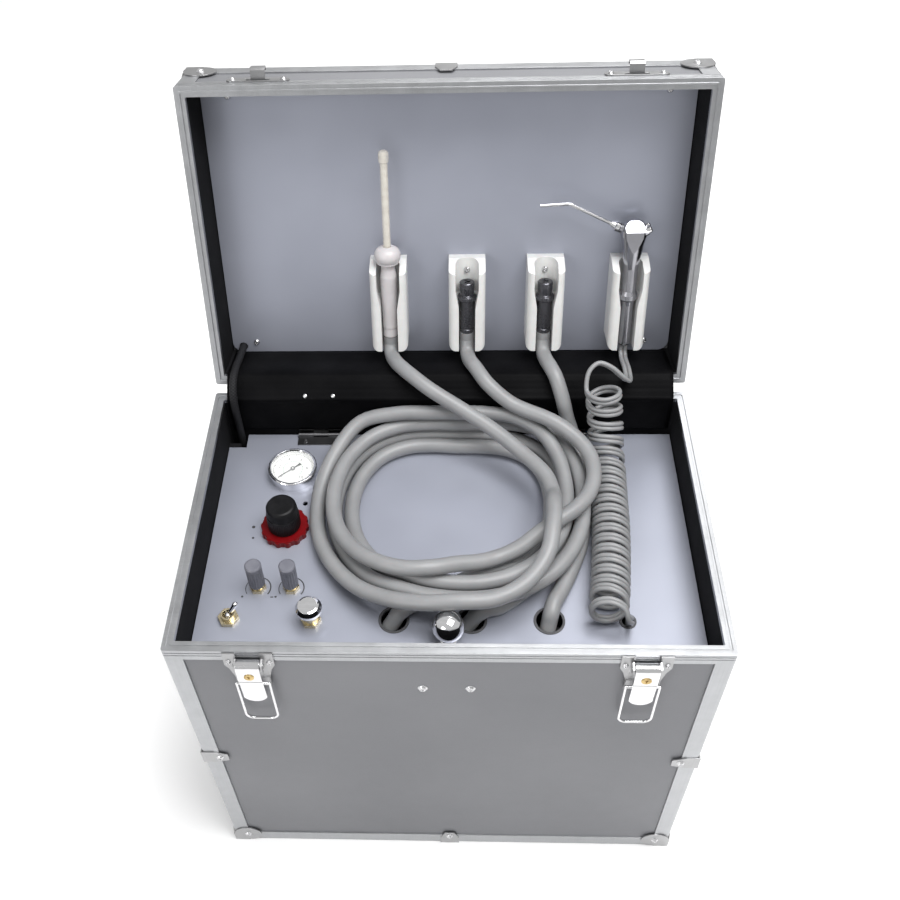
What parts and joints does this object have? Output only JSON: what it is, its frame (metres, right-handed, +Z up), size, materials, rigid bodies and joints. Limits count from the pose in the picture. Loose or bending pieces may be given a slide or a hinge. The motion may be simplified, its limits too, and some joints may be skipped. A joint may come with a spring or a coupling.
{
  "type": "portable dental unit",
  "caption": "Portable dental unit in a hard case: a hinged lid holds suction tip, handpiece hoses and syringe above a control panel with a gauge, regulator and coiled hoses.",
  "frame": {"origin": "centre of the object's footprint at its underside, lid open", "axes": "+X to the viewer's right, +Y from the front with the latches to the hinged back, +Z up"},
  "size_m": [0.405, 0.3841, 0.5948],
  "materials": {
    "case_skin": "satin, fine embossed grain",
    "case_lining": "matt",
    "case_trim": "satin anodised",
    "case_fittings": "zinc plated",
    "screw_steel": "bright",
    "handle_plastic": "satin",
    "cover_vinyl": "semi matt",
    "latch_chrome": "polished",
    "key_brass": "worn",
    "panel_sheet": "satin",
    "dark_hinge": "dark plated",
    "knob_chrome": "polished",
    "dial_white": "matt print",
    "needle_black": "matt",
    "gauge_window": "clear",
    "ring_red": "gloss",
    "knob_black": "matt",
    "stem_brass": "turned",
    "gear_plated": "plated",
    "knob_grey": "knurled",
    "grommet_rubber": "matt",
    "holder_white": "gloss",
    "suction_plastic": "satin",
    "tip_clear": "clear, soft",
    "connector_steel": "satin",
    "syringe_metal": "satin",
    "nozzle_chrome": "polished",
    "compressor_paint": "semi gloss",
    "bottle_clear": "milky",
    "sleeve_braid": "braided",
    "hose_grey": "smooth, semi matt"
  },
  "bodies": {
    "base": {"base_panels": "case_skin", "base_liner": "case_lining", "base_edges": "case_trim", "base_rim": "case_trim", "base_fittings": "case_fittings", "case_screws": "screw_steel", "hinge_base": "case_fittings", "hinge_cover": "cover_vinyl", "panel_hinge_base": "dark_hinge", "compressor": "compressor_paint", "bottles": "bottle_clear", "sleeve": "sleeve_braid"},
    "lid": {"lid_panels": "case_skin", "lid_edges": "case_trim", "lid_rim": "case_trim", "lid_liner": "case_lining", "lid_panel": "panel_sheet", "lid_screws": "screw_steel", "lid_fittings": "case_fittings", "hinge_lid": "case_fittings", "tool_holders": "holder_white", "suction_hose_riser": "hose_grey", "left_hose_riser": "hose_grey", "cord_tail": "hose_grey"},
    "carry_handle": {"handle": "handle_plastic"},
    "left_lever": {"latch_lever_left": "latch_chrome", "key_plug_left": "key_brass"},
    "right_lever": {"latch_lever_right": "latch_chrome", "key_plug_right": "key_brass"},
    "left_bail": {"latch_bail_left": "latch_chrome"},
    "right_bail": {"latch_bail_right": "latch_chrome"},
    "panel": {"control_panel": "panel_sheet", "panel_hinge_leaves": "dark_hinge", "pull_knob": "knob_chrome", "gauge_case": "knob_chrome", "gauge_dial": "dial_white", "gauge_glass": "gauge_window", "regulator_ring": "ring_red", "valve_gear": "gear_plated", "valve_bodies": "stem_brass", "grommets": "grommet_rubber", "suction_hose_coil": "hose_grey", "left_hose_coil": "hose_grey", "right_hose": "hose_grey", "curly_cord": "hose_grey"},
    "needle": {"gauge_needle": "needle_black"},
    "regulator_shaft": {"regulator_stem": "stem_brass"},
    "regulator_grip": {"regulator_knob": "knob_black"},
    "left_water_valve": {"water_knob_left": "knob_grey"},
    "right_water_valve": {"water_knob_right": "knob_grey"},
    "air_toggle": {"toggle_lever": "knob_chrome"},
    "changeover": {"changeover_knob": "knob_chrome"},
    "suction_tool": {"suction_handpiece": "suction_plastic", "ejector_tip": "tip_clear"},
    "left_connector": {"connector_left": "connector_steel"},
    "right_connector": {"connector_right": "connector_steel"},
    "syringe": {"syringe_body": "syringe_metal"},
    "nozzle": {"syringe_nozzle": "nozzle_chrome"},
    "air_button": {"button_air": "nozzle_chrome"},
    "water_button": {"button_water": "nozzle_chrome"}
  },
  "joints": [
    {"name": "lid_hinge", "type": "hinge", "parent": "base", "child": "lid", "pos_m": [0, 0.07369, 0.3423], "axis": [1, 0, 0], "range_deg": [0, 105], "deforming": ["hinge_cover", "sleeve", "suction_hose_riser", "left_hose_riser", "right_hose", "curly_cord", "cord_tail"]},
    {"name": "panel_lift", "type": "hinge", "parent": "base", "child": "panel", "pos_m": [0, 0.05618, 0.3028], "axis": [1, 0, 0], "range_deg": [-25, 0], "deforming": ["suction_hose_coil", "left_hose_coil", "curly_cord", "right_hose", "suction_hose_riser", "left_hose_riser", "cord_tail", "hinge_cover"]},
    {"name": "handle_swing", "type": "hinge", "parent": "lid", "child": "carry_handle", "pos_m": [0, 0.17107, 0.46891], "axis": [1, 0, 0], "range_deg": [-15, 75]},
    {"name": "left_latch", "type": "hinge", "parent": "base", "child": "left_lever", "pos_m": [-0.139, -0.18741, 0.331], "axis": [1, 0, 0], "range_deg": [-110, 0]},
    {"name": "left_bail_swing", "type": "hinge", "parent": "left_lever", "child": "left_bail", "pos_m": [-0.139, -0.18741, 0.306], "axis": [-1, 0, 0], "range_deg": [0, 181.31]},
    {"name": "right_latch", "type": "hinge", "parent": "base", "child": "right_lever", "pos_m": [0.139, -0.18741, 0.331], "axis": [1, 0, 0], "range_deg": [-110, 0]},
    {"name": "right_bail_swing", "type": "hinge", "parent": "right_lever", "child": "right_bail", "pos_m": [0.139, -0.18741, 0.306], "axis": [-1, 0, 0], "range_deg": [0, 181.31]},
    {"name": "needle_sweep", "type": "hinge", "parent": "panel", "child": "needle", "pos_m": [-0.1315, 0.01269, 0.3085], "axis": [0, 0, -1], "range_deg": [0, 270]},
    {"name": "regulator_turn", "type": "hinge", "parent": "panel", "child": "regulator_shaft", "pos_m": [-0.132, -0.04582, 0.32], "axis": [0, 0, -1], "range_deg": [0, 720]},
    {"name": "regulator_lock", "type": "slide", "parent": "regulator_shaft", "child": "regulator_grip", "axis": [0, 0, 1], "range_m": [0, 0.003]},
    {"name": "left_water_turn", "type": "hinge", "parent": "panel", "child": "left_water_valve", "pos_m": [-0.147, -0.10282, 0.315], "axis": [0, 0, 1], "range_deg": [0, 720]},
    {"name": "right_water_turn", "type": "hinge", "parent": "panel", "child": "right_water_valve", "pos_m": [-0.121, -0.10282, 0.315], "axis": [0, 0, 1], "range_deg": [0, 720]},
    {"name": "air_switch", "type": "hinge", "parent": "panel", "child": "air_toggle", "pos_m": [-0.166, -0.13081, 0.3056], "axis": [-0.4067, 0.9135, 0], "range_deg": [-70.4, 0]},
    {"name": "changeover_push", "type": "slide", "parent": "panel", "child": "changeover", "axis": [0, 0, -1], "range_m": [0, 0.004]},
    {"name": "suction_lift", "type": "slide", "parent": "lid", "child": "suction_tool", "axis": [0, -0.2588, -0.9659], "range_m": [-0.03, 0], "deforming": ["suction_hose_riser"]},
    {"name": "left_connector_lift", "type": "slide", "parent": "lid", "child": "left_connector", "axis": [0, -0.2588, -0.9659], "range_m": [-0.03, 0], "deforming": ["left_hose_riser"]},
    {"name": "right_connector_lift", "type": "slide", "parent": "lid", "child": "right_connector", "axis": [0, -0.2588, -0.9659], "range_m": [-0.03, 0], "deforming": ["right_hose"]},
    {"name": "syringe_lift", "type": "slide", "parent": "lid", "child": "syringe", "axis": [0, -0.2588, -0.9659], "range_m": [-0.03, 0], "deforming": ["cord_tail", "curly_cord"]},
    {"name": "nozzle_swivel", "type": "hinge", "parent": "syringe", "child": "nozzle", "pos_m": [0.138, 0.13461, 0.46419], "axis": [-0.8988, 0.1135, 0.4235], "range_deg": [-90, 90]},
    {"name": "air_press", "type": "slide", "parent": "syringe", "child": "air_button", "axis": [-0.8829, -0.1215, -0.4535], "range_m": [0, 0.002], "stiffness_N_per_m": 400},
    {"name": "water_press", "type": "slide", "parent": "syringe", "child": "water_button", "axis": [-0.8829, -0.1215, -0.4535], "range_m": [0, 0.002], "stiffness_N_per_m": 400}
  ]
}
